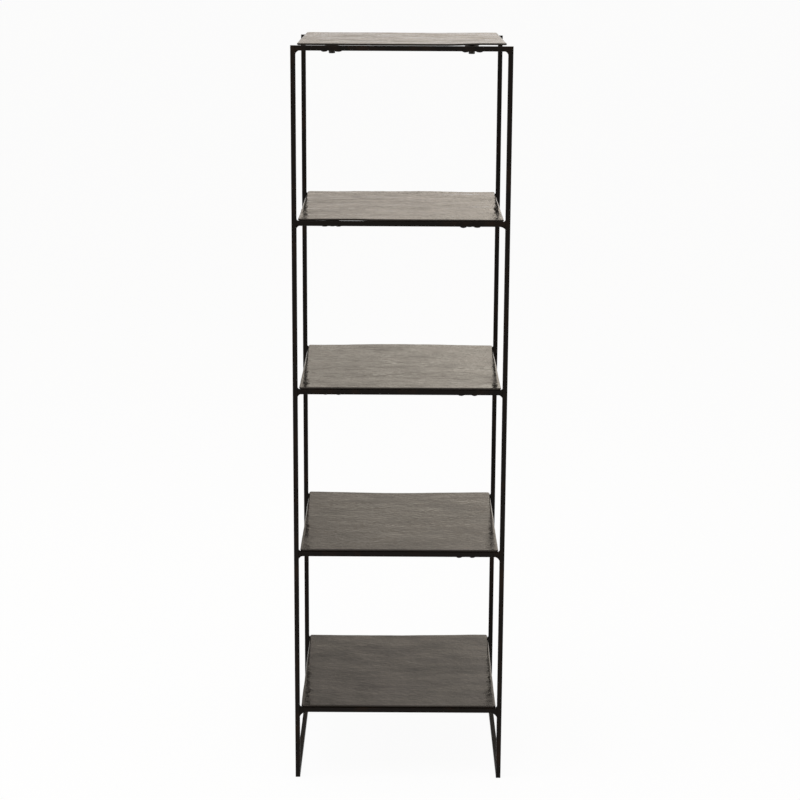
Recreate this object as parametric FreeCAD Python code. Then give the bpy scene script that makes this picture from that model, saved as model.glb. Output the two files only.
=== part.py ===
import FreeCAD, Part
import math
import os

# Open bookshelf: a front and a rear ladder of square iron bar, joined by two floor runners,
# carry five cast plates that are bolted down to tabs behind the rails.
# Sizes are in millimetres. X is the width, Y the depth with the front at -Y, Z is up,
# and the origin is on the floor in the middle of the plan.

# Overall sizes
overall_width = 400.0
overall_depth = 400.0
shelf_count = 5
shelf_pitch = 316.0
first_rail_top = 144.0

# Square bar of the posts, rails and runners
bar = 9.0
bar_edge_radius = 1.0

# Shelf plates: their gaps to the posts, the rails' outer faces and the rails' tops
plate_thickness = 3.5
plate_side_gap = 2.5
plate_setback = 4.0
plate_lift = 2.5
plate_corner_radius = 4.0
plate_edge_radius = 1.2

# Bosses cast under a plate, with the metal left above their blind holes
boss_diameter = 24.0
boss_root_diameter = 27.0
boss_hole_cover = 2.0

# Fixing tabs of flat bar: their places from the post and the bolt's place from the rail
tab_width = 25.0
tab_thickness = 3.0
tab_inset = 64.0
tab_end_margin = 13.0
tab_corner_radius = 3.0
bolt_reach = 42.0

# Hexagon bolts with a lock washer and a flat washer under the head
bolt_diameter = 6.0
bolt_tip_gap = 1.2
head_flats = 10.0
head_height = 4.0
flat_washer_diameter = 12.5
flat_washer_thickness = 1.6
lock_washer_diameter = 11.8
lock_washer_thickness = 1.6
lock_washer_split = 1.5
bolt_hole_clearance = 0.6
washer_clearance = 0.4
thread_clearance = 0.1

# Weld metal: fillets at bar ends and round beads at the tabs
rail_weld_leg = 6.0
rail_top_weld_leg = 2.5
runner_weld_leg = 4.0
tab_bead_diameter = 12.0
tab_bead_height = 3.0
cut_overrun = 1.0

# Shares that shape welds and bolt heads and keep roundings inside their walls
weld_throat_share = 0.38
head_chamfer_share = 0.94
rounding_limit_share = 0.3
head_chamfer_degrees = 30.0

# Places worked out from the sizes
X = FreeCAD.Vector(1, 0, 0)
Y = FreeCAD.Vector(0, 1, 0)
UP = FreeCAD.Vector(0, 0, 1)
inner_width = overall_width - 2 * bar
inner_depth = overall_depth - 2 * bar
post_x = (overall_width - bar) / 2
post_y = (overall_depth - bar) / 2
post_height = first_rail_top + (shelf_count - 1) * shelf_pitch
bar_rounding = min(bar_edge_radius, bar * rounding_limit_share)
weld_width = bar - 2 * bar_rounding
tab_x = inner_width / 2 - tab_inset
tab_length = bolt_reach + tab_end_margin
boss_height = plate_lift + bar - tab_thickness
boss_hole_depth = boss_height + plate_thickness - boss_hole_cover
washer_stack = flat_washer_thickness + lock_washer_thickness
sides = (("left", -1), ("right", 1))
ladders = (("front", -1), ("rear", 1))
corners = [
    (f"{ladder}_{side}", across, along)
    for ladder, along in ladders
    for side, across in sides
]
shelves = range(1, shelf_count + 1)


def rail_top(shelf):
    return first_rail_top + (shelf - 1) * shelf_pitch


def export(node, solids):
    shape = solids[0] if len(solids) == 1 else Part.makeCompound(solids)
    shape.exportStep(f"parts/{node}.step")


def moved(shape, x, y, z):
    copy = shape.copy()
    copy.translate(FreeCAD.Vector(x, y, z))
    return copy


def facing_in(shape, along):
    """Turns what is drawn for the front ladder round to face in from the ladder named."""
    copy = shape.copy()
    if along > 0:
        copy.rotate(FreeCAD.Vector(), UP, 180)
    return copy


def rounded_rectangle(width, depth, radius):
    """A flat face centred on the origin, its four corners rounded."""
    half_w = width / 2
    half_d = depth / 2
    edges = []
    for quarter in range(4):
        turn = FreeCAD.Rotation(UP, 90 * quarter)
        reach, rise = (half_w, half_d) if quarter % 2 == 0 else (half_d, half_w)
        centre = FreeCAD.Vector(reach - radius, rise - radius)
        start = centre + X * radius
        middle = centre + (X + Y).normalize() * radius
        end = centre + Y * radius
        edges.append(Part.Arc(*(turn * point for point in (start, middle, end))).toShape())
    outline = []
    for quarter, arc in enumerate(edges):
        following = edges[(quarter + 1) % 4]
        outline.append(arc)
        outline.append(Part.makeLine(arc.lastVertex().Point, following.firstVertex().Point))
    return Part.Face(Part.Wire(outline))


def square_bar(direction, length):
    """A length of bar whose centre line starts at the origin."""
    section = rounded_rectangle(bar, bar, bar_rounding)
    section.Placement = FreeCAD.Placement(FreeCAD.Vector(), FreeCAD.Rotation(UP, direction))
    return section.extrude(direction * length)


def ring(outer, inner, thickness):
    """A washer hanging down from the origin's level."""
    disc = Part.makeCylinder(outer / 2, thickness, FreeCAD.Vector(0, 0, -thickness))
    bore_start = FreeCAD.Vector(0, 0, -thickness - cut_overrun)
    bore = Part.makeCylinder(inner / 2, thickness + 2 * cut_overrun, bore_start)
    return disc.cut(bore)


def fillet_weld(corner, run, rise, leg):
    """A hollow-faced fillet in the corner between two faces, as wide as the bar's flat."""
    across = run.cross(rise) * weld_width
    base = corner - across * 0.5
    toe = base + run * leg
    top = base + rise * leg
    throat = base + (run + rise) * (leg * weld_throat_share)
    face = Part.Arc(toe, throat, top).toShape()
    outline = Part.Wire([Part.makeLine(top, base), Part.makeLine(base, toe), face])
    return Part.Face(outline).extrude(across)


# Shelf plate with its bosses, its underside on the origin's level
def shelf_plate():
    width = inner_width - 2 * plate_side_gap
    depth = overall_depth - 2 * plate_setback
    blank = rounded_rectangle(width, depth, plate_corner_radius).extrude(UP * plate_thickness)
    rim = [edge for edge in blank.Edges if edge.BoundBox.ZLength < plate_thickness / 2]
    plate = blank.makeFillet(min(plate_edge_radius, plate_thickness * rounding_limit_share), rim)
    foot = FreeCAD.Vector(0, 0, -boss_height)
    boss = Part.makeCone(boss_diameter / 2, boss_root_diameter / 2, boss_height, foot)
    mouth = foot - UP * cut_overrun
    thread = (bolt_diameter + thread_clearance) / 2
    hole = Part.makeCylinder(thread, boss_hole_depth + cut_overrun, mouth)
    boss_y = inner_depth / 2 - bolt_reach
    places = [(across * tab_x, along * boss_y, 0) for _, across, along in corners]
    plate = plate.fuse([moved(boss, *place) for place in places])
    return plate.cut([moved(hole, *place) for place in places])


# Fixing tab, running in from the rail's inner face with its underside on the origin's level
def fixing_tab():
    strip = Part.makeBox(tab_width, tab_length, tab_thickness)
    strip.translate(FreeCAD.Vector(-tab_width / 2, 0, 0))
    uprights = [edge for edge in strip.Edges if edge.BoundBox.ZLength > tab_thickness / 2]
    free_end = [edge for edge in uprights if edge.BoundBox.YMin > tab_length / 2]
    strip = strip.makeFillet(min(tab_corner_radius, tab_width * rounding_limit_share), free_end)
    bolt_place = FreeCAD.Vector(0, bolt_reach, -cut_overrun)
    hole_radius = (bolt_diameter + bolt_hole_clearance) / 2
    return strip.cut(Part.makeCylinder(hole_radius, tab_thickness + 2 * cut_overrun, bolt_place))


# Hexagon bolt, its washers' upper face on the origin's level
def hexagon_bolt():
    head_top = -washer_stack
    head_foot = head_top - head_height
    radius = head_flats / 2 / math.cos(math.radians(30))
    points = [
        FreeCAD.Vector(radius * math.cos(angle), radius * math.sin(angle), head_foot)
        for angle in (math.radians(60 * corner) for corner in range(7))
    ]
    prism = Part.Face(Part.makePolygon(points)).extrude(UP * head_height)
    foot_radius = head_flats / 2 * head_chamfer_share
    spread = head_height / math.tan(math.radians(head_chamfer_degrees))
    foot = FreeCAD.Vector(0, 0, head_foot)
    head = prism.common(Part.makeCone(foot_radius, foot_radius + spread, head_height, foot))
    shank_length = washer_stack + tab_thickness + boss_hole_depth - bolt_tip_gap
    shank = Part.makeCylinder(bolt_diameter / 2, shank_length, FreeCAD.Vector(0, 0, head_top))
    return head.fuse(shank).removeSplitter()


# Lock washer, a ring split on one side, its upper face on the origin's level
def lock_washer():
    washer = ring(lock_washer_diameter, bolt_diameter + washer_clearance, lock_washer_thickness)
    slot = Part.makeBox(lock_washer_diameter, lock_washer_split, lock_washer_thickness + 2 * cut_overrun)
    slot.translate(FreeCAD.Vector(0, -lock_washer_split / 2, -lock_washer_thickness - cut_overrun))
    return moved(washer.cut(slot), 0, 0, -flat_washer_thickness)


# Weld bead, a round dome hanging from the origin's level
def tab_bead():
    base = tab_bead_diameter / 2
    radius = (base**2 + tab_bead_height**2) / (2 * tab_bead_height)
    rise = radius - tab_bead_height
    latitude = math.degrees(math.asin(rise / radius))
    return Part.makeSphere(radius, FreeCAD.Vector(0, 0, rise), UP * -1, latitude, 90)


os.makedirs("parts", exist_ok=True)

# Posts
post = square_bar(UP, post_height)
for corner, across, along in corners:
    export(f"post_{corner}", [moved(post, across * post_x, along * post_y, 0)])

# Floor runners and their welds on the posts
runner = square_bar(Y, inner_depth)
runner_welds = []
for side, across in sides:
    export(f"floor_runner_{side}", [moved(runner, across * post_x, -inner_depth / 2, bar / 2)])
    for _, along in ladders:
        inner_corner = FreeCAD.Vector(across * post_x, along * inner_depth / 2, bar)
        runner_welds.append(fillet_weld(inner_corner, Y * -along, UP, runner_weld_leg))
export("runner_welds", runner_welds)

# Rails, with the fillets that join each end to its post
rail = square_bar(X, inner_width)
for shelf in shelves:
    welds = []
    for ladder, along in ladders:
        level = rail_top(shelf)
        export(f"rail_{ladder}_{shelf}", [moved(rail, -inner_width / 2, along * post_y, level - bar / 2)])
        for _, across in sides:
            lower = FreeCAD.Vector(across * inner_width / 2, along * post_y, level - bar)
            welds.append(fillet_weld(lower, X * -across, UP * -1, rail_weld_leg))
            if shelf < shelf_count:
                upper = lower + UP * bar
                welds.append(fillet_weld(upper, X * -across, UP, rail_top_weld_leg))
    export(f"rail_welds_{shelf}", welds)

# Tabs with their beads, then the bolts and washers that hold each plate on them
tab = fixing_tab()
bead = tab_bead()
fasteners = {
    "shelf_bolts": hexagon_bolt(),
    "lock_washers": lock_washer(),
    "flat_washers": ring(flat_washer_diameter, bolt_diameter + washer_clearance, flat_washer_thickness),
}
placed = {node: [] for node in fasteners}
for shelf in shelves:
    beads = []
    underside = rail_top(shelf) - bar
    for corner, across, along in corners:
        rail_face = along * inner_depth / 2
        place = (across * tab_x, rail_face, underside)
        export(f"tab_{corner}_{shelf}", [moved(facing_in(tab, along), *place)])
        for _, edge in sides:
            beads.append(moved(bead, across * tab_x + edge * tab_width / 2, rail_face, underside))
        bolt_y = rail_face - along * bolt_reach
        for node, solid in fasteners.items():
            placed[node].append(moved(facing_in(solid, along), across * tab_x, bolt_y, underside))
    export(f"tab_welds_{shelf}", beads)
for node, solids in placed.items():
    export(node, solids)

# Shelf plates
plate = shelf_plate()
for shelf in shelves:
    export(f"shelf_plate_{shelf}", [moved(plate, 0, 0, rail_top(shelf) + plate_lift)])
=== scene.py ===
import math

import bpy
from mathutils import Matrix, Vector


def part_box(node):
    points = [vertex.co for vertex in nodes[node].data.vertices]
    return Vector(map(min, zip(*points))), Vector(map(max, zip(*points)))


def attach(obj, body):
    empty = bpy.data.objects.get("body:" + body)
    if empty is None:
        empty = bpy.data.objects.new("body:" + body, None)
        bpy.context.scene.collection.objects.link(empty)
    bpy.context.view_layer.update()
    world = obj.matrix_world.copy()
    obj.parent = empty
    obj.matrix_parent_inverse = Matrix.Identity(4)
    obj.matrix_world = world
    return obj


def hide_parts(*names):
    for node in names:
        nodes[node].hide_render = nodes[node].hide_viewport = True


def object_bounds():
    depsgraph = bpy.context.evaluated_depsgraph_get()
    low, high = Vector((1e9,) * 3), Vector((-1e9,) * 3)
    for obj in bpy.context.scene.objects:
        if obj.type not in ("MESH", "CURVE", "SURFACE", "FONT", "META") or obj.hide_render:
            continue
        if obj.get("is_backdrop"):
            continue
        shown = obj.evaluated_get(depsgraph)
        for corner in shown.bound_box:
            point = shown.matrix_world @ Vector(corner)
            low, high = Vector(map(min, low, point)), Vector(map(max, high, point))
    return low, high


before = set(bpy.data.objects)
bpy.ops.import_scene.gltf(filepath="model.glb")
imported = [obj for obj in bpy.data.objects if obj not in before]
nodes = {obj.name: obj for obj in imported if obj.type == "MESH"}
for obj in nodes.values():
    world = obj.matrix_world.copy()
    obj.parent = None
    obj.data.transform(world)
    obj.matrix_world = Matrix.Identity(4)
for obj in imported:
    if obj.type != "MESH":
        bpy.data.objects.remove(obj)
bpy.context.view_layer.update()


# Posts, rails, floor runners and tabs
# Hot-rolled square iron bar, cut and welded into two ladders that the floor runners tie together,
# with short tabs of flat bar behind the rails. The whole frame was lacquered black after welding.
def linear(srgb):
    """The linear colour of an sRGB hex value."""
    channels = [int(srgb[first : first + 2], 16) / 255 for first in (1, 3, 5)]
    return [c / 12.92 if c <= 0.04045 else ((c + 0.055) / 1.055) ** 2.4 for c in channels] + [1.0]


def add(tree, kind, inputs=(), **settings):
    """Adds a node. Each input, by its socket's name or number, is a value, a link from another socket,
    or a link from the first output in use of another node."""
    node = tree.nodes.new(kind)
    for name, value in settings.items():
        setattr(node, name, value)
    for socket, value in dict(inputs).items():
        if isinstance(value, bpy.types.Node):
            value = next(output for output in value.outputs if output.enabled)
        if isinstance(value, bpy.types.NodeSocket):
            tree.links.new(value, node.inputs[socket])
        else:
            node.inputs[socket].default_value = value
    return node


def per_metre(millimetres):
    """The scale of a pattern whose features are this far apart."""
    return 1000.0 / millimetres


def new_material(name):
    """A material whose node tree is still empty."""
    made = bpy.data.materials.new(name)
    made.use_nodes = True
    made.node_tree.nodes.clear()
    return made


def dress(node, made):
    """Puts a material on a node of the frame."""
    for material_slot in nodes[node].material_slots:
        material_slot.material = made


def black_lacquered_iron():
    """Sprayed black lacquer on rolled bar: a soft sheen, a warm cast where the coat is thin, and the
    faint pimples of the mill scale under it."""
    lacquer = "#110c08"
    thin_lacquer = "#2a1c12"
    coat_patch_mm = 45.0
    coat_detail = 6.0
    coat_breakup = 0.65
    thin_from, thin_to = 0.5, 0.85
    sheen_from, sheen_to = 0.3, 0.7
    least_roughness, most_roughness = 0.4, 0.55
    pimple_mm = 2.2
    pimple_detail = 3.0
    pimple_height = 0.00002
    lacquer_ior = 1.5
    lacquer_specular = 0.1
    made = new_material("black_lacquered_iron")
    tree = made.node_tree
    place = add(tree, "ShaderNodeTexCoord").outputs["Object"]
    patches = add(tree, "ShaderNodeTexNoise",
                  {"Vector": place, "Scale": per_metre(coat_patch_mm), "Detail": coat_detail,
                   "Roughness": coat_breakup})
    thinness = add(tree, "ShaderNodeMapRange",
                   {"Value": patches, "From Min": thin_from, "From Max": thin_to})
    colour = add(tree, "ShaderNodeMix",
                 {"Factor": thinness, "A": linear(lacquer), "B": linear(thin_lacquer)}, data_type="RGBA")
    sheen = add(tree, "ShaderNodeMapRange",
                {"Value": patches, "From Min": sheen_from, "From Max": sheen_to,
                 "To Min": least_roughness, "To Max": most_roughness})
    pimples = add(tree, "ShaderNodeTexNoise",
                  {"Vector": place, "Scale": per_metre(pimple_mm), "Detail": pimple_detail})
    bump = add(tree, "ShaderNodeBump", {"Height": pimples, "Distance": pimple_height})
    shader = add(tree, "ShaderNodeBsdfPrincipled",
                 {"Base Color": colour, "Roughness": sheen, "Normal": bump, "IOR": lacquer_ior,
                  "Specular IOR Level": lacquer_specular})
    add(tree, "ShaderNodeOutputMaterial", {"Surface": shader})
    return made


iron = black_lacquered_iron()
lacquered = ("post_", "rail_front_", "rail_rear_", "floor_runner_", "tab_front_", "tab_rear_")
for name in nodes:
    if name.startswith(lacquered):
        dress(name, iron)


# Weld fillets
# Weld metal drawn into the corners between each bar end and its post, hollow on its face and with the
# ripple of the torch across it. The fillets lie under the frame's lacquer.
def new_tree(name, floats, vectors=(), integers=()):
    """A geometry tree with these named inputs besides its geometry and its material."""
    inputs = {"NodeSocketGeometry": ("Geometry",), "NodeSocketMaterial": ("Material",),
              "NodeSocketFloat": floats, "NodeSocketVector": vectors, "NodeSocketInt": integers}
    tree = bpy.data.node_groups.new(name, "GeometryNodeTree")
    for kind, labels in inputs.items():
        for label in labels:
            tree.interface.new_socket(name=label, in_out="INPUT", socket_type=kind)
    tree.interface.new_socket(name="Geometry", in_out="OUTPUT", socket_type="NodeSocketGeometry")
    return tree, add(tree, "NodeGroupInput").outputs


def formed(name, blank_mesh, tree, values):
    """Runs a tree on a blank with these input values, and keeps the result as a plain mesh object."""
    blank = bpy.data.objects.new(name + "_blank", blank_mesh)
    bpy.context.scene.collection.objects.link(blank)
    modifier = blank.modifiers.new("form", "NODES")
    modifier.node_group = tree
    for socket in tree.interface.items_tree:
        if socket.in_out == "INPUT" and socket.name in values:
            modifier[socket.identifier] = values[socket.name]
    graph = bpy.context.evaluated_depsgraph_get()
    mesh = bpy.data.meshes.new_from_object(blank.evaluated_get(graph))
    mesh.name = name
    bpy.data.objects.remove(blank)
    bpy.data.meshes.remove(blank_mesh)
    piece = bpy.data.objects.new(name, mesh)
    bpy.context.scene.collection.objects.link(piece)
    return piece


def loose_points(places, **attributes):
    """A mesh of loose points, each with a vector for every attribute given."""
    mesh = bpy.data.meshes.new("loose_points")
    mesh.from_pydata(places, [], [])
    for label, vectors in attributes.items():
        column = mesh.attributes.new(label, "FLOAT_VECTOR", "POINT")
        column.data.foreach_set("vector", [number for vector in vectors for number in vector])
    return mesh


def fillet_tree():
    """One fillet with legs along +X and -Z from its corner, set at each point with its turn and stretch.
    A unit block is bent into it: X runs over its face, Y across the bar and Z from the corner out."""
    face_points = 9
    width_points = 25
    corner_and_face = 2
    half_block = 0.5
    merge_distance = 0.000001
    tree, given = new_tree("weld_fillet", ("Leg", "Width", "Hollow", "Ripples", "Ripple Depth"))
    block = add(tree, "GeometryNodeMeshCube",
                {"Size": (1.0, 1.0, 1.0), "Vertices X": face_points, "Vertices Y": width_points,
                 "Vertices Z": corner_and_face})
    place = add(tree, "GeometryNodeInputPosition")
    from_corner = add(tree, "ShaderNodeVectorMath", {0: place, 1: (half_block, half_block, half_block)},
                      operation="ADD")
    share = add(tree, "ShaderNodeSeparateXYZ", {0: from_corner}).outputs
    phase = add(tree, "ShaderNodeMath", {0: share["Y"], 1: given["Ripples"]}, operation="MULTIPLY")
    angle = add(tree, "ShaderNodeMath", {0: phase, 1: math.tau}, operation="MULTIPLY")
    wave = add(tree, "ShaderNodeMath", {0: angle}, operation="SINE")
    ripple = add(tree, "ShaderNodeMath", {0: wave, 1: given["Ripple Depth"], 2: 1.0},
                 operation="MULTIPLY_ADD")
    rippled_leg = add(tree, "ShaderNodeMath", {0: ripple, 1: given["Leg"]}, operation="MULTIPLY")
    reach = add(tree, "ShaderNodeMath", {0: rippled_leg, 1: share["Z"]}, operation="MULTIPLY")
    along_bar = add(tree, "ShaderNodeMath", {0: 1.0, 1: share["X"]}, operation="SUBTRACT")
    run_share = add(tree, "ShaderNodeMath", {0: along_bar, 1: given["Hollow"]}, operation="POWER")
    run = add(tree, "ShaderNodeMath", {0: run_share, 1: reach}, operation="MULTIPLY")
    drop_share = add(tree, "ShaderNodeMath", {0: share["X"], 1: given["Hollow"]}, operation="POWER")
    drop = add(tree, "ShaderNodeMath", {0: drop_share, 1: reach}, operation="MULTIPLY")
    down = add(tree, "ShaderNodeMath", {0: drop, 1: -1.0}, operation="MULTIPLY")
    from_middle = add(tree, "ShaderNodeMath", {0: share["Y"], 1: half_block}, operation="SUBTRACT")
    side = add(tree, "ShaderNodeMath", {0: from_middle, 1: given["Width"]}, operation="MULTIPLY")
    bent = add(tree, "ShaderNodeCombineXYZ", {0: run, 1: side, 2: down})
    shaped = add(tree, "GeometryNodeSetPosition", {"Geometry": block, "Position": bent})
    closed = add(tree, "GeometryNodeMergeByDistance", {"Geometry": shaped, "Distance": merge_distance})
    turn = add(tree, "GeometryNodeInputNamedAttribute", {"Name": "turn"}, data_type="FLOAT_VECTOR")
    rotation = add(tree, "FunctionNodeEulerToRotation", {0: turn})
    stretch = add(tree, "GeometryNodeInputNamedAttribute", {"Name": "stretch"}, data_type="FLOAT_VECTOR")
    stood = add(tree, "GeometryNodeInstanceOnPoints",
                {"Points": given["Geometry"], "Instance": closed, "Rotation": rotation, "Scale": stretch})
    real = add(tree, "GeometryNodeRealizeInstances", {0: stood})
    painted = add(tree, "GeometryNodeSetMaterial", {"Geometry": real, "Material": given["Material"]})
    add(tree, "NodeGroupOutput", {0: painted})
    return tree


fillets = fillet_tree()
post_low, post_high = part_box("post_front_left")
bar = post_high.x - post_low.x
fillet_width_share = 0.88
fillet_leg = 0.006
top_fillet_leg = 0.0025
runner_fillet_leg = 0.004
fillet_values = {"Leg": fillet_leg, "Width": fillet_width_share * bar, "Hollow": 1.4, "Ripples": 3.5,
                 "Ripple Depth": 0.07, "Material": iron}
# How far the fillets under a rail run along it and down the post, at its left and its right end
fillet_runs = {1: (0.0105, 0.0105), 2: (0.006, 0.0075), 3: (0.005, 0.006),
               4: (0.005, 0.0092), 5: (0.0062, 0.0055)}
fillet_drops = {1: (0.0095, 0.0095), 2: (0.006, 0.008), 3: (0.005, 0.006),
                4: (0.005, 0.005), 5: (0.006, 0.0057)}
shelf_count = sum(name.startswith("shelf_plate_") for name in nodes)
shelves = range(1, shelf_count + 1)
half_turn = math.pi
quarter_turn = math.pi / 2
top_stretch = top_fillet_leg / fillet_leg
for shelf in shelves:
    places, turns, stretches = [], [], []
    for ladder in ("front", "rear"):
        low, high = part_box(f"rail_{ladder}_{shelf}")
        middle = (low.y + high.y) / 2
        for end, facing, run, drop in zip((low.x, high.x), (0.0, half_turn),
                                          fillet_runs[shelf], fillet_drops[shelf]):
            places.append((end, middle, low.z))
            turns.append((0.0, 0.0, facing))
            stretches.append((run / fillet_leg, 1.0, drop / fillet_leg))
            if shelf < shelf_count:
                places.append((end, middle, high.z))
                turns.append((half_turn, 0.0, facing))
                stretches.append((top_stretch, 1.0, top_stretch))
    points = loose_points(places, turn=turns, stretch=stretches)
    welds = formed(f"rail_fillets_{shelf}", points, fillets, fillet_values)
    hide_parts(f"rail_welds_{shelf}")
    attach(welds, "root")

places, turns, stretches = [], [], []
runner_stretch = runner_fillet_leg / fillet_leg
for side in ("left", "right"):
    low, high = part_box(f"floor_runner_{side}")
    for end, facing in ((low.y, quarter_turn), (high.y, -quarter_turn)):
        places.append(((low.x + high.x) / 2, end, high.z))
        turns.append((half_turn, 0.0, facing))
        stretches.append((runner_stretch, 1.0, runner_stretch))
points = loose_points(places, turn=turns, stretch=stretches)
welds = formed("runner_fillets", points, fillets, fillet_values)
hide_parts("runner_welds")
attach(welds, "root")


# Weld beads at the tabs
# A short fat bead at each side of a tab, in the corner between its edge and the inner face of the rail.
# The beads hang a few millimetres below the rail and are lacquered with it.
def bead_tree():
    """One bead along X with a rippled and lumpy skin, set at each point with its stretch. The seed skews
    and shrinks each one a little."""
    ball_segments = 28
    ball_rings = 18
    ball_radius = 0.5
    most_skew = 0.25
    least_growth = (0.8, 0.9, 0.8)
    full_growth = (1.0, 1.0, 1.0)
    lump_mm = 4.0
    lump_detail = 1.0
    noise_middle = 0.5
    tree, given = new_tree(
        "weld_bead", ("Length", "Width", "Height", "Ripple Pitch", "Ripple Depth", "Lump Size"),
        integers=("Seed",))
    ball = add(tree, "GeometryNodeMeshUVSphere",
               {"Segments": ball_segments, "Rings": ball_rings, "Radius": ball_radius})
    size = add(tree, "ShaderNodeCombineXYZ", {0: given["Length"], 1: given["Width"], 2: given["Height"]})
    place = add(tree, "GeometryNodeInputPosition")
    scaled = add(tree, "ShaderNodeVectorMath", {0: place, 1: size}, operation="MULTIPLY")
    along = add(tree, "ShaderNodeSeparateXYZ", {0: scaled}).outputs["X"]
    phase = add(tree, "ShaderNodeMath", {0: along, 1: given["Ripple Pitch"]}, operation="DIVIDE")
    angle = add(tree, "ShaderNodeMath", {0: phase, 1: math.tau}, operation="MULTIPLY")
    wave = add(tree, "ShaderNodeMath", {0: angle}, operation="SINE")
    ripple = add(tree, "ShaderNodeMath", {0: wave, 1: given["Ripple Depth"], 2: 1.0},
                 operation="MULTIPLY_ADD")
    rippled = add(tree, "ShaderNodeVectorMath", {0: scaled, "Scale": ripple}, operation="SCALE")
    shaped = add(tree, "GeometryNodeSetPosition", {"Geometry": ball, "Position": rippled})
    skew = add(tree, "FunctionNodeRandomValue",
               {"Min": (0.0, 0.0, -most_skew), "Max": (0.0, 0.0, most_skew), "Seed": given["Seed"]},
               data_type="FLOAT_VECTOR")
    rotation = add(tree, "FunctionNodeEulerToRotation", {0: skew})
    growth = add(tree, "FunctionNodeRandomValue",
                 {"Min": least_growth, "Max": full_growth, "Seed": given["Seed"]}, data_type="FLOAT_VECTOR")
    stretch = add(tree, "GeometryNodeInputNamedAttribute", {"Name": "stretch"}, data_type="FLOAT_VECTOR")
    stretched = add(tree, "ShaderNodeVectorMath", {0: growth, 1: stretch}, operation="MULTIPLY")
    stood = add(tree, "GeometryNodeInstanceOnPoints",
                {"Points": given["Geometry"], "Instance": shaped, "Rotation": rotation, "Scale": stretched})
    real = add(tree, "GeometryNodeRealizeInstances", {0: stood})
    lumps = add(tree, "ShaderNodeTexNoise",
                {"Vector": place, "Scale": per_metre(lump_mm), "Detail": lump_detail}).outputs["Color"]
    centred = add(tree, "ShaderNodeVectorMath", {0: lumps, 1: (noise_middle, noise_middle, noise_middle)},
                  operation="SUBTRACT")
    push = add(tree, "ShaderNodeVectorMath", {0: centred, "Scale": given["Lump Size"]}, operation="SCALE")
    lumpy = add(tree, "GeometryNodeSetPosition", {"Geometry": real, "Offset": push})
    smooth = add(tree, "GeometryNodeSetShadeSmooth", {"Geometry": lumpy})
    painted = add(tree, "GeometryNodeSetMaterial", {"Geometry": smooth, "Material": given["Material"]})
    add(tree, "NodeGroupOutput", {0: painted})
    return tree


beads = bead_tree()
bead_values = {"Length": 0.0145, "Width": 0.0105, "Height": 0.0064, "Ripple Pitch": 0.0024,
               "Ripple Depth": 0.035, "Lump Size": 0.0006, "Material": iron}
# What that height is multiplied by at the left and the right tabs of each shelf
bead_height_factors = {1: (0.55, 0.55), 2: (0.55, 1.3), 3: (0.75, 1.05), 4: (0.8, 1.15), 5: (0.9, 0.75)}
for shelf in shelves:
    places, stretches = [], []
    for ladder in ("front", "rear"):
        rail_low, rail_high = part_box(f"rail_{ladder}_{shelf}")
        rail_face = rail_high.y if ladder == "front" else rail_low.y
        for side, height_factor in zip(("left", "right"), bead_height_factors[shelf]):
            low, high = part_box(f"tab_{ladder}_{side}_{shelf}")
            for edge in (low.x, high.x):
                places.append((edge, rail_face, low.z))
                stretches.append((1.0, 1.0, height_factor))
    points = loose_points(places, stretch=stretches)
    welds = formed(f"tab_beads_{shelf}", points, beads, {**bead_values, "Seed": shelf})
    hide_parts(f"tab_welds_{shelf}")
    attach(welds, "root")


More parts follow.
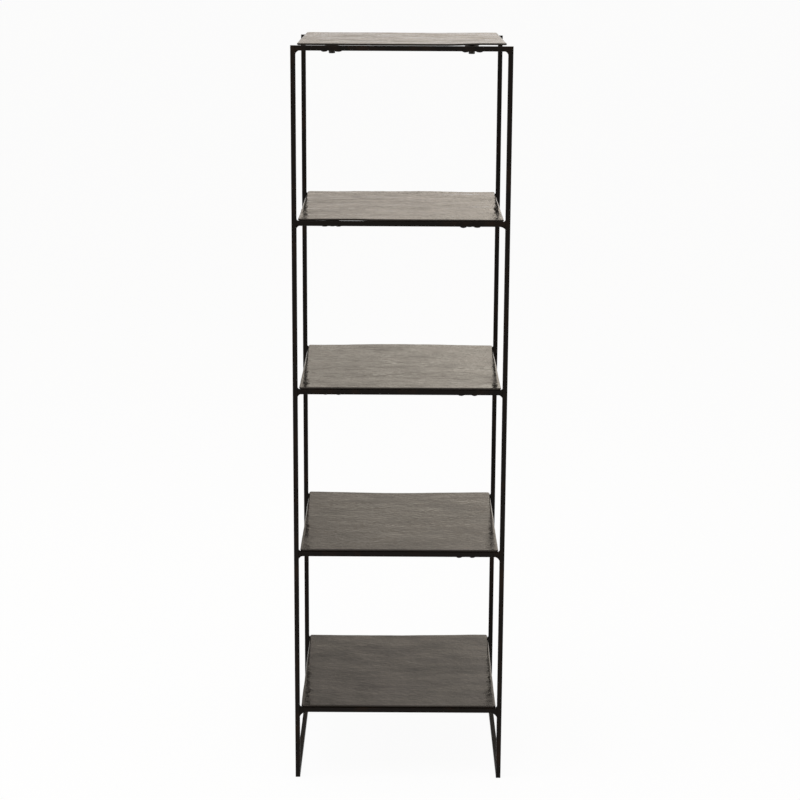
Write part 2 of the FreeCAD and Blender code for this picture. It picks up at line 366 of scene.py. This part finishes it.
# Shelf plates
# Cast aluminium with a dark antique nickel finish: a little warped, wavy at the edges, hammered, burnished
# on top and left as cast below. Each stands just clear of the rails on four cast-on bosses for the bolts.
def cast_antique_nickel():
    """Dark nickel on a casting, part bare metal and part oxide: it mirrors the room softly, strongly at
    a low angle. Its wrinkles are drawn out across the plate and rubbed bright on their crests, and the
    dark patina is left in the pits. The edges are given the same dark colour as painted shade. Below,
    it keeps the dull skin of the mould."""
    nickel = "#55514d"
    tarnish = "#3d3a36"
    rubbed = "#6b655d"
    # Real patina in the pits, and also the painted shade on the plate edges
    patina_and_edge_shade = "#2a241e"
    bare_metal_share = 0.6
    mottle_mm = 55.0
    mottle_detail = 6.0
    mottle_breakup = 0.6
    grain_mm = 5.0
    grain_detail = 3.0
    grain_share = 0.5
    stain_from, stain_to = 0.6, 0.93
    haze_mm = 65.0
    haze_detail = 7.0
    haze_breakup = 0.8
    haze_from, haze_to = 0.38, 0.64
    burnished_roughness, hazy_roughness = 0.05, 0.22
    as_cast_roughness = 0.5
    wrinkle_mm = 8.0
    wrinkle_detail = 2.0
    wrinkle_stretch = 1.7
    wrinkle_curl = 0.3
    wrinkle_depth = 0.00007
    ridge_offset = 1.0
    crest_from, crest_to = 0.8, 1.5
    rubbed_share = 0.18
    pit_mm = 6.0
    pit_radius_share = 0.3
    pit_depth = 0.0003
    pitted_from, pitted_to = 0.42, 0.56
    made = new_material("cast_antique_nickel")
    tree = made.node_tree
    place = add(tree, "ShaderNodeTexCoord").outputs["Object"]
    mottle = add(tree, "ShaderNodeTexNoise",
                 {"Vector": place, "Scale": per_metre(mottle_mm), "Detail": mottle_detail,
                  "Roughness": mottle_breakup})
    grain = add(tree, "ShaderNodeTexNoise",
                {"Vector": place, "Scale": per_metre(grain_mm), "Detail": grain_detail})
    grained = add(tree, "ShaderNodeMath", {0: grain, 1: grain_share, 2: mottle}, operation="MULTIPLY_ADD")
    stain = add(tree, "ShaderNodeMapRange",
                {"Value": grained, "From Min": stain_from, "From Max": stain_to})
    skin = add(tree, "ShaderNodeMix", {"Factor": stain, "A": linear(nickel), "B": linear(tarnish)},
               data_type="RGBA")
    haze = add(tree, "ShaderNodeTexNoise",
               {"Vector": place, "Scale": per_metre(haze_mm), "Detail": haze_detail,
                "Roughness": haze_breakup})
    gloss = add(tree, "ShaderNodeMapRange",
                {"Value": haze, "From Min": haze_from, "From Max": haze_to,
                 "To Min": burnished_roughness, "To Max": hazy_roughness})
    burnished = add(tree, "ShaderNodeAttribute", attribute_name="burnished").outputs["Fac"]
    sheen = add(tree, "ShaderNodeMix", {"Factor": burnished, "A": as_cast_roughness, "B": gloss})
    drawn_out = add(tree, "ShaderNodeMapping", {"Vector": place, "Scale": (1 / wrinkle_stretch, 1.0, 1.0)})
    wrinkles = add(tree, "ShaderNodeTexNoise",
                   {"Vector": drawn_out, "Scale": per_metre(wrinkle_mm), "Detail": wrinkle_detail,
                    "Offset": ridge_offset, "Distortion": wrinkle_curl},
                   noise_type="RIDGED_MULTIFRACTAL")
    crest = add(tree, "ShaderNodeMapRange",
                {"Value": wrinkles, "From Min": crest_from, "From Max": crest_to, "To Max": rubbed_share})
    worn = add(tree, "ShaderNodeMix", {"Factor": crest, "A": skin, "B": linear(rubbed)}, data_type="RGBA")
    cells = add(tree, "ShaderNodeTexVoronoi", {"Vector": place, "Scale": per_metre(pit_mm)})
    hollow = add(tree, "ShaderNodeMapRange",
                 {"Value": cells, "From Max": pit_radius_share, "To Min": 1.0, "To Max": 0.0})
    patch = add(tree, "ShaderNodeMapRange",
                {"Value": mottle, "From Min": pitted_from, "From Max": pitted_to})
    in_patch = add(tree, "ShaderNodeMath", {0: hollow, 1: patch}, operation="MULTIPLY")
    pocked = add(tree, "ShaderNodeAttribute", attribute_name="pocked").outputs["Fac"]
    pit = add(tree, "ShaderNodeMath", {0: in_patch, 1: pocked}, operation="MULTIPLY")
    # Painted shade on the plate edges, as the slab's edge share
    painted_edge_shade = add(tree, "ShaderNodeAttribute", attribute_name="painted_edge_shade").outputs["Fac"]
    pits_and_edge_shade = add(tree, "ShaderNodeMath", {0: painted_edge_shade, 1: pit}, operation="MAXIMUM")
    # Patina in the pits, and painted shade on the edges
    colour = add(tree, "ShaderNodeMix", {"Factor": pits_and_edge_shade, "A": worn, "B": linear(patina_and_edge_shade)},
                 data_type="RGBA")
    creased = add(tree, "ShaderNodeBump", {"Height": wrinkles, "Distance": wrinkle_depth})
    bump = add(tree, "ShaderNodeBump", {"Height": pit, "Distance": pit_depth, "Normal": creased},
               invert=True)
    shader = add(tree, "ShaderNodeBsdfPrincipled",
                 {"Base Color": colour, "Metallic": bare_metal_share, "Roughness": sheen, "Normal": bump})
    add(tree, "ShaderNodeOutputMaterial", {"Surface": shader})
    return made


def plate_slab(width, depth, thickness, pocked):
    """A closed slab on a fine grid, centred in plan with its underside at zero. Its front and rear edges
    have a small radius and its sides a longer round. Pocked says how much of its pitting shows."""
    edge_radius = 0.0009
    side_reach = 0.0026
    side_fall = 0.0014
    corner_radius = 0.004
    grid_spacing = 0.0025
    # How far in from the edges the painted shade reaches
    rim_width = 0.001
    round_angles = (0, 22.5, 45, 67.5, 90)

    def stations(length, reach):
        """The grid's lines along a side, evenly spaced between the rounds and closer over them."""
        clear = length / 2 - reach
        count = round(2 * clear / grid_spacing)
        inner = [-clear + 2 * clear * step / count for step in range(1, count)]
        outer = [length / 2 - reach * (1 - math.cos(math.radians(angle))) for angle in round_angles]
        return [-station for station in outer] + inner + outer[::-1]

    def rounded(margin, reach, fall):
        """How far the round takes down a point that lies this far in from its edge."""
        return fall * (1 - math.sqrt(1 - max(1 - margin / reach, 0.0) ** 2))

    def in_plan(x, y):
        """Draws the corner of the grid in to the plate's round corner."""
        core = Vector((width / 2 - corner_radius, depth / 2 - corner_radius))
        over = Vector((max(abs(x) - core.x, 0.0), max(abs(y) - core.y, 0.0)))
        if over.x and over.y:
            over *= max(over) / over.length
            x = math.copysign(core.x + over.x, x)
            y = math.copysign(core.y + over.y, y)
        return x, y

    across = stations(width, side_reach)
    along = stations(depth, edge_radius)
    columns, rows = len(across), len(along)
    layer = columns * rows
    points, painted_edge_shades, faces = [], [], []
    for face in (1, -1):
        for x in across:
            for y in along:
                margins = (width / 2 - abs(x), depth / 2 - abs(y))
                fall = max(rounded(margins[0], side_reach, side_fall),
                           rounded(margins[1], edge_radius, edge_radius))
                height = thickness / 2 + face * (thickness / 2 - fall)
                points.append((*in_plan(x, y), height))
                # Painted shade: a share that darkens the plate near its edges
                painted_edge_shades.append(max(0.0, 1 - min(margins) / rim_width))
    for i in range(columns - 1):
        for j in range(rows - 1):
            first = i * rows + j
            quad = (first, first + rows, first + rows + 1, first + 1)
            faces.append(quad)
            faces.append(tuple(corner + layer for corner in reversed(quad)))
    outline = [i * rows for i in range(columns)]
    outline += [(columns - 1) * rows + j for j in range(1, rows)]
    outline += [i * rows + rows - 1 for i in range(columns - 2, -1, -1)]
    outline += [j for j in range(rows - 2, 0, -1)]
    for here, following in zip(outline, outline[1:] + outline[:1]):
        faces.append((here, here + layer, following + layer, following))
    mesh = bpy.data.meshes.new("slab")
    mesh.from_pydata(points, [], faces)
    finish = {"painted_edge_shade": painted_edge_shades, "pocked": [pocked] * len(points), "burnished": [1.0] * layer + [0.0] * layer}
    for label, shares in finish.items():
        mesh.attributes.new(label, "FLOAT", "POINT").data.foreach_set("value", shares)
    return mesh


def casting_tree():
    """Warps a slab as a casting comes out of its mould, and stands its bosses under it. An edge drops by
    one amount at its left end, one in its middle and one at its right end. Its bends are the shares of
    its length where the second drop is reached, and where the change to the third begins and ends."""
    warp_detail = 1.0
    edge_detail = 2.0
    noise_middle = 0.5
    centre_share = 0.5
    boss_sides = 40
    boss_rings = 4
    bosses_a_side = 2
    tree, given = new_tree(
        "casting",
        floats=("Width", "Depth", "Warp", "Warp Span", "Swell", "Swell Span", "Swell Stretch", "Hammer",
                "Hammer Span", "Hammer Stretch", "Edge Wander", "Edge Span", "Flat Front", "Boss Radius",
                "Boss Root", "Boss Height", "Boss Sink", "Seed"),
        vectors=("Front Drops", "Front Bends", "Rear Drops", "Rear Bends", "Boss Spacing"))
    place = add(tree, "GeometryNodeInputPosition")
    axis = add(tree, "ShaderNodeSeparateXYZ", {0: place}).outputs
    width_share = add(tree, "ShaderNodeMath", {0: axis["X"], 1: given["Width"]}, operation="DIVIDE")
    across = add(tree, "ShaderNodeMath", {0: width_share, 1: centre_share}, operation="ADD")
    depth_share = add(tree, "ShaderNodeMath", {0: axis["Y"], 1: given["Depth"]}, operation="DIVIDE")
    back = add(tree, "ShaderNodeMath", {0: depth_share, 1: centre_share}, operation="ADD")
    edge_drops = {}
    for edge in ("Front", "Rear"):
        drops = add(tree, "ShaderNodeSeparateXYZ", {0: given[edge + " Drops"]}).outputs
        bends = add(tree, "ShaderNodeSeparateXYZ", {0: given[edge + " Bends"]}).outputs
        past_left = add(tree, "ShaderNodeMapRange", {"Value": across, "From Max": bends["X"]},
                        interpolation_type="SMOOTHSTEP")
        to_right = add(tree, "ShaderNodeMapRange",
                       {"Value": across, "From Min": bends["Y"], "From Max": bends["Z"]},
                       interpolation_type="SMOOTHSTEP")
        left_part = add(tree, "ShaderNodeMix", {"Factor": past_left, "A": drops["X"], "B": drops["Y"]})
        edge_drops[edge] = add(tree, "ShaderNodeMix", {"Factor": to_right, "A": left_part, "B": drops["Z"]})
    drop = add(tree, "ShaderNodeMix", {"Factor": back, "A": edge_drops["Front"], "B": edge_drops["Rear"]})
    lift = add(tree, "ShaderNodeMath", {0: drop, 1: -1.0}, operation="MULTIPLY")
    free = add(tree, "ShaderNodeMath", {0: back, 1: given["Flat Front"]}, operation="DIVIDE",
               use_clamp=True)
    flat = add(tree, "ShaderNodeCombineXYZ", {0: axis["X"], 1: axis["Y"]})
    grounds = {"Warp": flat}
    for relief in ("Swell", "Hammer"):
        narrowed = add(tree, "ShaderNodeMath", {0: axis["X"], 1: given[relief + " Stretch"]},
                       operation="DIVIDE")
        grounds[relief] = add(tree, "ShaderNodeCombineXYZ", {0: narrowed, 1: axis["Y"]})
    for relief, ground in grounds.items():
        rate = add(tree, "ShaderNodeMath", {0: 1.0, 1: given[relief + " Span"]}, operation="DIVIDE")
        noise = add(tree, "ShaderNodeTexNoise",
                    {"Vector": ground, "W": given["Seed"], "Scale": rate, "Detail": warp_detail},
                    noise_dimensions="4D")
        centred = add(tree, "ShaderNodeMath", {0: noise, 1: noise_middle}, operation="SUBTRACT")
        held = add(tree, "ShaderNodeMath", {0: centred, 1: free}, operation="MULTIPLY")
        lift = add(tree, "ShaderNodeMath", {0: held, 1: given[relief], 2: lift}, operation="MULTIPLY_ADD")
    edge_rate = add(tree, "ShaderNodeMath", {0: 1.0, 1: given["Edge Span"]}, operation="DIVIDE")
    edge_noise = add(tree, "ShaderNodeTexNoise",
                     {"Vector": flat, "W": given["Seed"], "Scale": edge_rate, "Detail": edge_detail},
                     noise_dimensions="4D").outputs["Color"]
    sideways = add(tree, "ShaderNodeVectorMath",
                   {0: edge_noise, 1: (noise_middle, noise_middle, noise_middle)}, operation="SUBTRACT")
    wander = add(tree, "ShaderNodeVectorMath", {0: sideways, "Scale": given["Edge Wander"]},
                 operation="SCALE")
    drift = add(tree, "ShaderNodeSeparateXYZ", {0: wander}).outputs
    offset = add(tree, "ShaderNodeCombineXYZ", {0: drift["X"], 1: drift["Y"], 2: lift})
    warped = add(tree, "GeometryNodeSetPosition", {"Geometry": given["Geometry"], "Offset": offset})
    spacing = add(tree, "ShaderNodeSeparateXYZ", {0: given["Boss Spacing"]}).outputs
    feet = add(tree, "GeometryNodeMeshGrid",
               {"Size X": spacing["X"], "Size Y": spacing["Y"], "Vertices X": bosses_a_side,
                "Vertices Y": bosses_a_side})
    tall = add(tree, "ShaderNodeMath", {0: given["Boss Height"], 1: given["Boss Sink"]}, operation="ADD")
    boss = add(tree, "GeometryNodeMeshCone",
               {"Vertices": boss_sides, "Side Segments": boss_rings, "Radius Top": given["Boss Root"],
                "Radius Bottom": given["Boss Radius"], "Depth": tall})
    down = add(tree, "ShaderNodeMath", {0: given["Boss Height"], 1: -1.0}, operation="MULTIPLY")
    seat = add(tree, "ShaderNodeCombineXYZ", {2: down})
    seated = add(tree, "GeometryNodeTransform", {"Geometry": boss, "Translation": seat})
    bosses = add(tree, "GeometryNodeInstanceOnPoints", {"Points": feet, "Instance": seated})
    whole = add(tree, "GeometryNodeJoinGeometry")
    tree.links.new(bosses.outputs[0], whole.inputs[0])
    tree.links.new(warped.outputs[0], whole.inputs[0])
    real = add(tree, "GeometryNodeRealizeInstances", {0: whole})
    smooth = add(tree, "GeometryNodeSetShadeSmooth", {"Geometry": real})
    painted = add(tree, "GeometryNodeSetMaterial", {"Geometry": smooth, "Material": given["Material"]})
    add(tree, "NodeGroupOutput", {0: painted})
    return tree


casting = casting_tree()
plate_thickness = 0.0035
boss_reach = 0.042
tab_low, tab_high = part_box("tab_front_right_1")
boss_x = (tab_low.x + tab_high.x) / 2
boss_y = -(tab_low.y + boss_reach)
shared_values = {
    "Warp": 0.002, "Warp Span": 0.26, "Swell Span": 0.05, "Swell Stretch": 2.0, "Edge Wander": 0.0022,
    "Edge Span": 0.07, "Flat Front": 0.12, "Rear Bends": (0.5, 0.5, 1.0), "Boss Radius": 0.012,
    "Boss Root": 0.0135, "Boss Sink": 0.0008, "Boss Spacing": (2 * boss_x, 2 * boss_y, 0.0),
    "Material": cast_antique_nickel()}
# The three lower front edges lie level and the top one rises at the right. The fourth plate is the one
# that is hammered and pitted most.
plate_values = {
    1: {"Front Drops": (0.0022, 0.0022, 0.0022), "Front Bends": (0.5, 0.8, 0.9),
        "Rear Drops": (0.0012, 0.0016, -0.0012), "Swell": 0.0014,
        "Hammer": 0.0003, "Hammer Span": 0.009, "Hammer Stretch": 1.4},
    2: {"Front Drops": (0.0022, 0.0022, 0.0022), "Front Bends": (0.5, 0.8, 0.9),
        "Rear Drops": (0.0, 0.0023, 0.0), "Swell": 0.0008,
        "Hammer": 0.0003, "Hammer Span": 0.009, "Hammer Stretch": 1.3},
    3: {"Front Drops": (0.0022, 0.0022, 0.0022), "Front Bends": (0.5, 0.8, 0.9),
        "Rear Drops": (0.0022, 0.0, 0.0012), "Swell": 0.0014,
        "Hammer": 0.0004, "Hammer Span": 0.011, "Hammer Stretch": 2.0},
    4: {"Front Drops": (0.00215, 0.00175, 0.00235), "Front Bends": (0.26, 0.28, 0.38),
        "Rear Drops": (0.001, 0.0006, 0.001), "Swell": 0.0032,
        "Hammer": 0.0011, "Hammer Span": 0.014, "Hammer Stretch": 0.6},
    5: {"Front Drops": (0.0021, 0.00212, 0.0004), "Front Bends": (0.5, 0.7, 0.9),
        "Rear Drops": (0.0007, 0.0013, 0.0007), "Swell": 0.0016,
        "Hammer": 0.0004, "Hammer Span": 0.011, "Hammer Stretch": 2.0}}
pocked_shares = {1: 0.1, 2: 0.15, 3: 0.08, 4: 1.0, 5: 0.5}
seed_step = 7.3
for shelf in shelves:
    low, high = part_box(f"shelf_plate_{shelf}")
    width = high.x - low.x
    depth = high.y - low.y
    underside = high.z - plate_thickness
    slab = plate_slab(width, depth, plate_thickness, pocked_shares[shelf])
    values = {**shared_values, **plate_values[shelf], "Width": width, "Depth": depth,
              "Boss Height": underside - low.z, "Seed": seed_step * shelf}
    plate = formed(f"cast_plate_{shelf}", slab, casting, values)
    plate.data.transform(Matrix.Translation((0.0, 0.0, underside)))
    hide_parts(f"shelf_plate_{shelf}")
    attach(plate, "root")


# Bolts and washers
# Hexagon bolts with a split lock washer and a flat washer, put in from below through the tabs.
# Their steel is blackened, a little glossier and greyer than the lacquer beside it.
def blackened_steel():
    """Black oxide on turned and rolled steel: dark grey with a metal sheen, in small blotches."""
    black_oxide = "#191715"
    thin_oxide = "#3a3733"
    blotch_mm = 3.0
    blotch_detail = 4.0
    least_roughness, most_roughness = 0.3, 0.5
    bare_metal_share = 1.0
    made = new_material("blackened_steel")
    tree = made.node_tree
    place = add(tree, "ShaderNodeTexCoord").outputs["Object"]
    blotch = add(tree, "ShaderNodeTexNoise",
                 {"Vector": place, "Scale": per_metre(blotch_mm), "Detail": blotch_detail})
    colour = add(tree, "ShaderNodeMix",
                 {"Factor": blotch, "A": linear(black_oxide), "B": linear(thin_oxide)}, data_type="RGBA")
    sheen = add(tree, "ShaderNodeMapRange",
                {"Value": blotch, "To Min": least_roughness, "To Max": most_roughness})
    shader = add(tree, "ShaderNodeBsdfPrincipled",
                 {"Base Color": colour, "Metallic": bare_metal_share, "Roughness": sheen})
    add(tree, "ShaderNodeOutputMaterial", {"Surface": shader})
    return made


steel = blackened_steel()
for name in ("shelf_bolts", "lock_washers", "flat_washers"):
    dress(name, steel)


# Studio
# A wide white paper floor that sweeps up into a pale room. The plates mirror the room's rear wall, which
# has bands of light and shade and is brighter to the right. One soft box hangs above, one at the left.
def white_floor_paper():
    """Matt white paper. It is drawn white with a small part of its shading, so that it keeps the shadow."""
    paper_white = "#f4f4f2"
    drawn_white = "#ffffff"
    white_strength = 1.0
    drawn_share = 0.95
    made = new_material("white_floor_paper")
    tree = made.node_tree
    ray = add(tree, "ShaderNodeLightPath").outputs
    straight = add(tree, "ShaderNodeMath", {0: ray["Is Camera Ray"], 1: ray["Is Glossy Ray"]},
                   operation="MAXIMUM")
    seen = add(tree, "ShaderNodeMath", {0: straight, 1: ray["Is Transmission Ray"]}, operation="MAXIMUM")
    share = add(tree, "ShaderNodeMath", {0: seen, 1: drawn_share}, operation="MULTIPLY")
    paper = add(tree, "ShaderNodeBsdfDiffuse", {"Color": linear(paper_white)})
    white = add(tree, "ShaderNodeEmission", {"Color": linear(drawn_white), "Strength": white_strength})
    mixed = add(tree, "ShaderNodeMixShader", {0: share, 1: paper, 2: white})
    add(tree, "ShaderNodeOutputMaterial", {"Surface": mixed})
    return made


def pale_room():
    """A white sweep at the floor line, plain grey in front, and a rear wall with bands of light and shade
    that is brighter to the right. Its heights and limits are parts of a unit direction."""
    sweep_white = "#ffffff"
    sweep_top = 0.07
    front_grey = "#b0aaa4"
    rear_from, rear_to = -0.6, 0.7
    bands = ((0.05, "#8f867c"), (0.085, "#d2c7bb"), (0.112, "#e6dbcf"), (0.132, "#d0c6ba"),
             (0.155, "#a1978d"), (0.172, "#a8a096"), (0.19, "#c6bcb0"), (0.204, "#e8dfd3"),
             (0.212, "#fff8ea"), (0.241, "#fff8ea"), (0.263, "#a89f93"), (0.29, "#b2a89c"),
             (0.312, "#d0c6ba"), (0.345, "#b1aba4"), (0.39, "#b8b2ab"), (0.5, "#a5a09b"))
    slant_rise = 0.05
    slant_reach = 0.057
    left_level, right_level = 0.63, 1.88
    wall_from, wall_to = 0.72, 0.95
    room = bpy.data.worlds.new("studio")
    room.use_nodes = True
    tree = room.node_tree
    tree.nodes.clear()
    direction = add(tree, "ShaderNodeTexCoord").outputs["Generated"]
    toward = add(tree, "ShaderNodeSeparateXYZ", {0: direction}).outputs
    wall = add(tree, "ShaderNodeValToRGB", {0: toward["Z"]})
    ramp = wall.color_ramp.elements
    for height, colour in bands:
        ramp.new(height).color = linear(colour)
    ramp.remove(ramp[-1])
    ramp.remove(ramp[0])
    rearward = add(tree, "ShaderNodeMapRange",
                   {"Value": toward["Y"], "From Min": rear_from, "From Max": rear_to},
                   interpolation_type="SMOOTHSTEP")
    walls = add(tree, "ShaderNodeMix", {"Factor": rearward, "A": linear(front_grey), "B": wall},
                data_type="RGBA")
    sweep = add(tree, "ShaderNodeMapRange", {"Value": toward["Z"], "From Max": sweep_top},
                interpolation_type="SMOOTHSTEP")
    colour = add(tree, "ShaderNodeMix", {"Factor": sweep, "A": linear(sweep_white), "B": walls},
                 data_type="RGBA")
    raised = add(tree, "ShaderNodeMath", {0: toward["Z"], 1: slant_rise}, operation="ADD")
    slant = add(tree, "ShaderNodeMath", {0: toward["X"], 1: raised}, operation="MULTIPLY")
    side_level = add(tree, "ShaderNodeMapRange",
                     {"Value": slant, "From Min": -slant_reach, "From Max": slant_reach,
                      "To Min": left_level, "To Max": right_level},
                     interpolation_type="SMOOTHSTEP")
    on_wall = add(tree, "ShaderNodeMapRange",
                  {"Value": toward["Y"], "From Min": wall_from, "From Max": wall_to, "To Max": sweep},
                  interpolation_type="SMOOTHSTEP")
    level = add(tree, "ShaderNodeMix", {"Factor": on_wall, "A": 1.0, "B": side_level})
    light = add(tree, "ShaderNodeBackground", {"Color": colour, "Strength": level})
    add(tree, "ShaderNodeOutputWorld", {"Surface": light})
    return room


bpy.context.scene.world = pale_room()
floor_reach = 80.0
floor_corners = [(x * floor_reach, y * floor_reach, 0.0) for x, y in ((-1, -1), (1, -1), (1, 1), (-1, 1))]
floor_mesh = bpy.data.meshes.new("floor")
floor_mesh.from_pydata(floor_corners, [], [(0, 1, 2, 3)])
floor_mesh.materials.append(white_floor_paper())
floor = bpy.data.objects.new("floor", floor_mesh)
bpy.context.scene.collection.objects.link(floor)
floor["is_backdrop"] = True

aim = Vector((0.0, 0.0, 0.7))
soft_boxes = {"top_soft_box": {"place": Vector((-0.3, -0.4, 3.6)), "size": 3.0, "power": 70.0},
              "side_soft_box": {"place": Vector((-3.0, -1.2, 2.2)), "size": 1.6, "power": 30.0}}
for name, box in soft_boxes.items():
    lamp = bpy.data.lights.new(name, "AREA")
    lamp.shape = "SQUARE"
    lamp.size = box["size"]
    lamp.energy = box["power"]
    hung = bpy.data.objects.new(name, lamp)
    facing = (aim - box["place"]).to_track_quat("-Z", "Y").to_matrix().to_4x4()
    hung.matrix_world = Matrix.Translation(box["place"]) @ facing
    bpy.context.scene.collection.objects.link(hung)

eye = Vector((0.0, -3.773, 1.602))
level_degrees = 90.0
pitch_degrees = 13.3
roll_degrees = 0.3
camera_data = bpy.data.cameras.new("camera")
camera_data.sensor_width = 36.0
camera_data.lens = 88.6
camera = bpy.data.objects.new("camera", camera_data)
tilt = Matrix.Rotation(math.radians(level_degrees - pitch_degrees), 4, "X")
roll = Matrix.Rotation(math.radians(roll_degrees), 4, "Z")
camera.matrix_world = Matrix.Translation(eye) @ tilt @ roll
bpy.context.scene.collection.objects.link(camera)
bpy.context.scene.camera = camera
bpy.context.scene.view_settings.view_transform = "Standard"

low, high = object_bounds()
